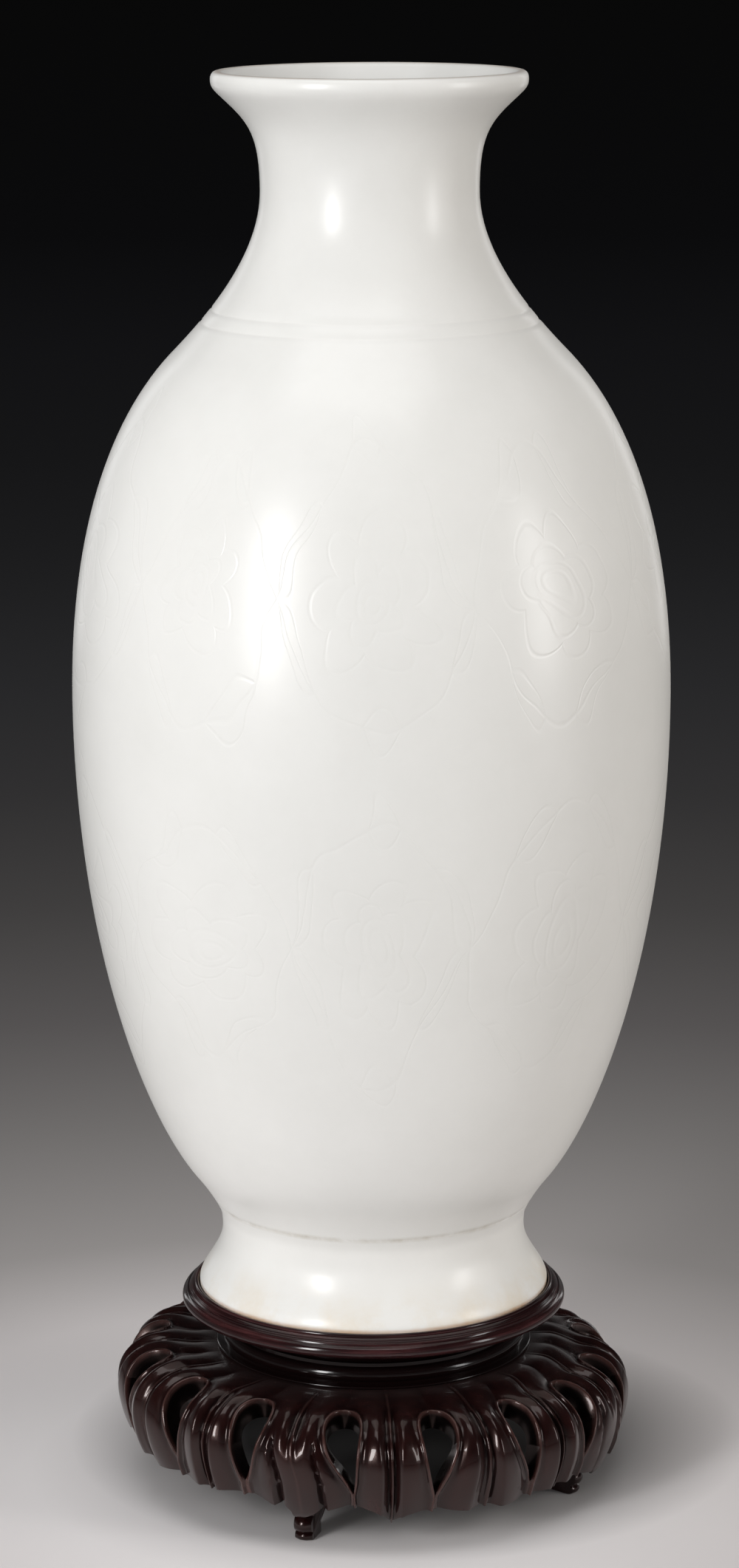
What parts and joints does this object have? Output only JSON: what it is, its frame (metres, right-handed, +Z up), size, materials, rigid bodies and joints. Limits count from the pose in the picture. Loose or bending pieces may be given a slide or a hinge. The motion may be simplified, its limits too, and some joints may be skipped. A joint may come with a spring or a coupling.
{
  "type": "flared-mouth vase on stand",
  "caption": "Tall white porcelain vase with a flared mouth and spreading foot, seated in a round dark hardwood stand carved as an overturned lotus leaf.",
  "frame": {"origin": "centre of the four feet on the surface that the stand rests on", "axes": "+Z up along the axis of the vase; the four feet stand on the diagonals between X and Y"},
  "size_m": [0.192, 0.192, 0.4606],
  "materials": {
    "white_glaze": "glossy clear glaze over white porcelain",
    "dark_hardwood": "carved, waxed and polished",
    "inner_wood": "planed, unpolished"
  },
  "bodies": {
    "stand": {"seat_ring": "dark_hardwood", "seat_panel": "inner_wood", "waist_ring": "dark_hardwood", "apron_sector_1": "dark_hardwood", "dowel_1": "inner_wood", "tongue_1": "inner_wood", "apron_sector_2": "dark_hardwood", "dowel_2": "inner_wood", "tongue_2": "inner_wood", "apron_sector_3": "dark_hardwood", "dowel_3": "inner_wood", "tongue_3": "inner_wood", "apron_sector_4": "dark_hardwood", "dowel_4": "inner_wood", "tongue_4": "inner_wood"},
    "vase": {"vase": "white_glaze"}
  },
  "joints": [
    {"name": "vase_lift", "type": "slide", "parent": "stand", "child": "vase", "axis": [0, 0, 1], "range_m": [0, 0.08]}
  ]
}
